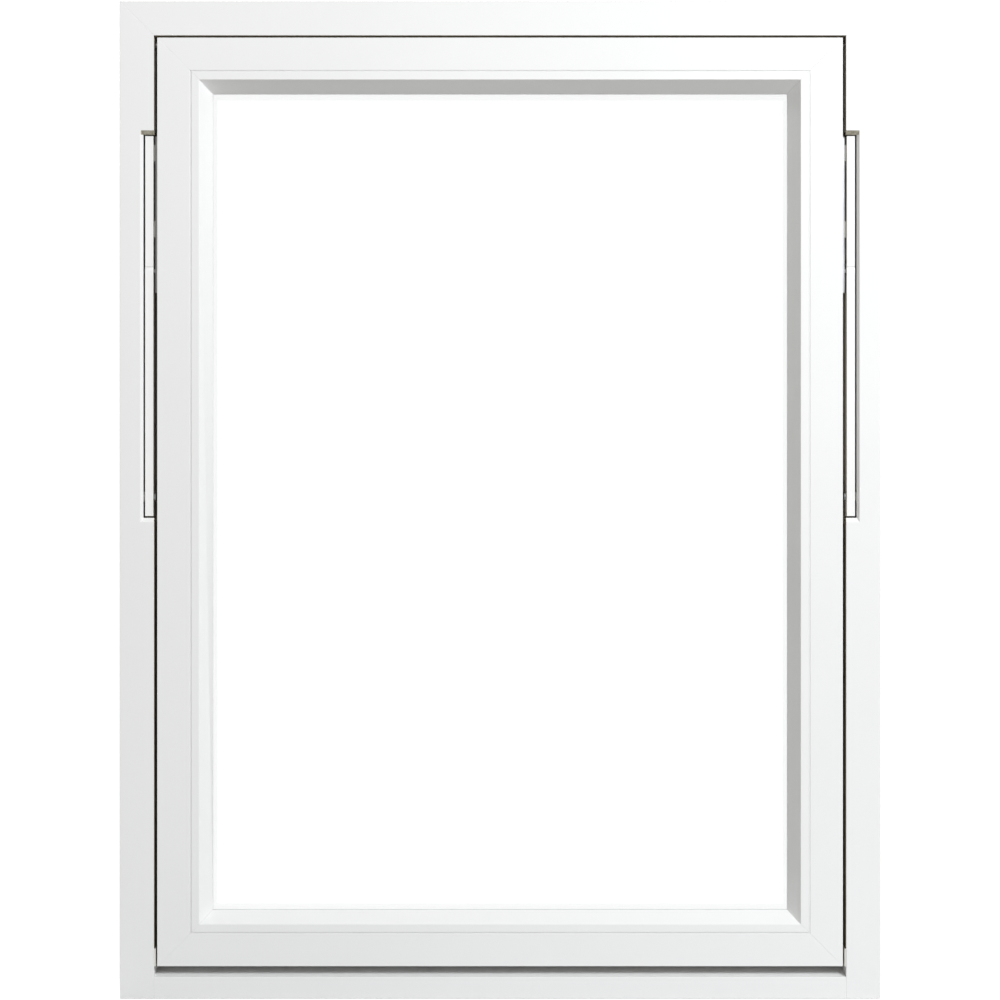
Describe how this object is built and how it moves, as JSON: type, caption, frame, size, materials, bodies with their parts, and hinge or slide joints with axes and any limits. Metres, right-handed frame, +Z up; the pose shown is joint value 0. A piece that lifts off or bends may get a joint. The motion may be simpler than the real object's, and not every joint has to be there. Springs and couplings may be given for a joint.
{
  "type": "casement window",
  "caption": "White aluminium-clad timber window: an outward projecting sash on side arms and top guide shoes, with double glazing, room-side handle and shoot bolts.",
  "frame": {"origin": "middle of the underside of the outer frame, at the middle of its depth", "axes": "-Y towards the outside, +Y into the room, +Z up, +X to the right seen from outside"},
  "size_m": [0.915, 0.115, 1.2],
  "materials": {
    "timber": "white painted",
    "cladding": "satin white powder coat",
    "steel": "zinc plated",
    "arm_paint": "white powder coat",
    "aluminium": "mill finish",
    "nylon": "natural",
    "dark_nylon": "moulded",
    "gasket": "extruded",
    "tape": "foam tape",
    "glass": "clear float",
    "packer": "moulded",
    "handle_paint": "white powder coat",
    "brass": "cut"
  },
  "bodies": {
    "frame": {"frame_head": "timber", "frame_jamb_left": "timber", "frame_jamb_right": "timber", "frame_sill": "timber", "cladding_head": "cladding", "cladding_jamb_left": "cladding", "cladding_jamb_right": "cladding", "cladding_sill": "cladding", "frame_clips": "dark_nylon", "frame_corner_keys": "aluminium", "frame_gasket": "gasket", "track_left": "aluminium", "track_right": "aluminium", "frame_screws": "steel", "pivot_plate_left": "steel", "pivot_plate_right": "steel", "pivot_pins": "steel", "bolt_keeps": "steel", "guide_blocks": "nylon"},
    "arm_left": {"arm_left": "arm_paint", "arm_bushes_left": "nylon"},
    "arm_right": {"arm_right": "arm_paint", "arm_bushes_right": "nylon"},
    "sash": {"sash_stile_left": "timber", "sash_stile_right": "timber", "sash_rail_top": "timber", "sash_rail_bottom": "timber", "sash_sheet_left": "cladding", "sash_sheet_right": "cladding", "sash_sheet_top": "cladding", "sash_sheet_bottom": "cladding", "bead_left": "cladding", "bead_right": "cladding", "bead_top": "cladding", "bead_bottom": "cladding", "sash_clips": "dark_nylon", "sash_corner_keys": "aluminium", "outer_pane": "glass", "inner_pane": "glass", "spacer_bar": "aluminium", "edge_seal": "gasket", "setting_blocks": "packer", "outer_gasket": "gasket", "inner_tape": "tape", "carrier_bar_left": "arm_paint", "carrier_bar_right": "arm_paint", "carrier_plates": "steel", "carrier_pins": "steel", "sash_screws": "steel", "shoe_brackets": "steel", "handle_rose": "handle_paint", "gearbox_case": "steel"},
    "shoe_left": {"shoe_left": "nylon"},
    "shoe_right": {"shoe_right": "nylon"},
    "handle": {"handle_lever": "handle_paint", "spindle": "steel", "pinion": "brass"},
    "bolt_left": {"bolt_left": "steel"},
    "bolt_right": {"bolt_right": "steel"}
  },
  "joints": [
    {"name": "arm_left_swing", "type": "hinge", "parent": "frame", "child": "arm_left", "pos_m": [-0.423, -0.0425, 0.604], "axis": [1, 0, 0], "range_deg": [0, 70]},
    {"name": "sash_tilt", "type": "hinge", "parent": "arm_left", "child": "sash", "pos_m": [-0.423, -0.0425, 0.877], "axis": [1, 0, 0], "range_deg": [-140, 0]},
    {"name": "arm_right_swing", "type": "hinge", "parent": "frame", "child": "arm_right", "pos_m": [0.423, -0.0425, 0.604], "axis": [1, 0, 0], "range_deg": [0, 70]},
    {"name": "shoe_left_turn", "type": "hinge", "parent": "sash", "child": "shoe_left", "pos_m": [-0.4385, -0.0425, 1.15], "axis": [1, 0, 0], "range_deg": [0, 70]},
    {"name": "shoe_right_turn", "type": "hinge", "parent": "sash", "child": "shoe_right", "pos_m": [0.4385, -0.0425, 1.15], "axis": [1, 0, 0], "range_deg": [0, 70]},
    {"name": "handle_turn", "type": "hinge", "parent": "sash", "child": "handle", "pos_m": [0, 0.0165, 0.073], "axis": [0, 1, 0], "range_deg": [0, 90]},
    {"name": "bolt_left_slide", "type": "slide", "parent": "sash", "child": "bolt_left", "axis": [-1, 0, 0], "range_m": [0, 0.01257]},
    {"name": "bolt_right_slide", "type": "slide", "parent": "sash", "child": "bolt_right", "axis": [1, 0, 0], "range_m": [0, 0.01257]}
  ],
  "couplings": [
    {"joint": "sash_tilt", "follows": "arm_left_swing", "ratio": -2},
    {"joint": "arm_right_swing", "follows": "arm_left_swing", "ratio": 1},
    {"joint": "shoe_left_turn", "follows": "arm_left_swing", "ratio": 1},
    {"joint": "shoe_right_turn", "follows": "arm_left_swing", "ratio": 1},
    {"joint": "bolt_left_slide", "follows": "handle_turn", "m_per_rad": 0.008},
    {"joint": "bolt_right_slide", "follows": "handle_turn", "m_per_rad": 0.008}
  ]
}
